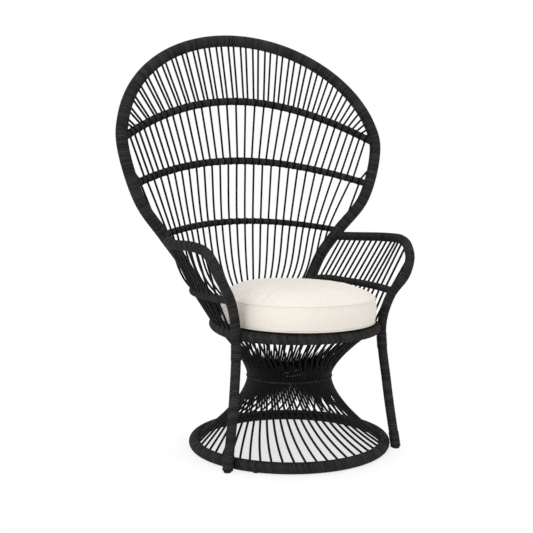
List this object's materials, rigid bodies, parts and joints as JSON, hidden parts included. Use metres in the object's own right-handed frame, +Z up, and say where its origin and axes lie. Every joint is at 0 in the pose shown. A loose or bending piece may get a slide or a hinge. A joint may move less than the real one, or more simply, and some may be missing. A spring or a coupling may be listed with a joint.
{
  "type": "peacock chair",
  "caption": "Peacock chair with a wrapped-tube frame, tall fan back of thin rods, looped arms with rod fans, twisted hourglass base on a floor ring, and a loose round cushion.",
  "frame": {"origin": "under the middle of the chair's bounding box, on the floor", "axes": "+Z up, -Y the way the sitter faces, +X to the right of a person looking at the chair's front"},
  "size_m": [0.9886, 0.7698, 1.3744],
  "materials": {
    "wrapped_cord": "fine black cord wound round the tubes, satin",
    "painted_rod": "black, satin",
    "plywood": "stained black, matt",
    "rubber": "matt",
    "linen": "plain woven cream linen",
    "foam": "open-cell foam",
    "zip_tape": "woven tape"
  },
  "bodies": {
    "frame": {"seat_ring": "wrapped_cord", "seat_panel": "plywood", "seat_bearer_front": "plywood", "seat_bearer_rear": "plywood", "base_ring": "wrapped_cord", "glide_1": "rubber", "glide_2": "rubber", "glide_3": "rubber", "glide_4": "rubber", "base_cage": "painted_rod", "back_hoop": "wrapped_cord", "back_rail_lower": "wrapped_cord", "back_fan_upper": "painted_rod", "back_fan_middle": "painted_rod", "back_spindle_01": "painted_rod", "back_spindle_02": "painted_rod", "back_spindle_03": "painted_rod", "back_spindle_04": "painted_rod", "back_spindle_05": "painted_rod", "back_spindle_06": "painted_rod", "back_spindle_07": "painted_rod", "back_spindle_08": "painted_rod", "back_spindle_09": "painted_rod", "back_spindle_10": "painted_rod", "back_spindle_11": "painted_rod", "back_spindle_12": "painted_rod", "back_spindle_13": "painted_rod", "back_spindle_14": "painted_rod", "back_spindle_15": "painted_rod", "back_spindle_16": "painted_rod", "back_spindle_17": "painted_rod", "back_spindle_18": "painted_rod", "back_spindle_19": "painted_rod", "back_spindle_20": "painted_rod", "back_spindle_21": "painted_rod", "back_spindle_22": "painted_rod", "back_spindle_23": "painted_rod", "back_spindle_24": "painted_rod", "back_spindle_25": "painted_rod", "back_spindle_26": "painted_rod", "back_spindle_27": "painted_rod", "back_spindle_28": "painted_rod", "arm_left": "wrapped_cord", "arm_right": "wrapped_cord", "arm_fan_left": "painted_rod", "arm_fan_right": "painted_rod", "foot_cap_left": "rubber", "foot_cap_right": "rubber", "foot_binding_left": "wrapped_cord", "foot_binding_right": "wrapped_cord", "leg_binding_left": "wrapped_cord", "leg_binding_right": "wrapped_cord"},
    "cushion": {"cushion_cover": "linen", "cushion_foam": "foam", "cushion_zip": "zip_tape"}
  },
  "joints": [
    {"name": "cushion_lift", "type": "slide", "parent": "frame", "child": "cushion", "axis": [0, 0, 1], "range_m": [0, 0.3]}
  ]
}
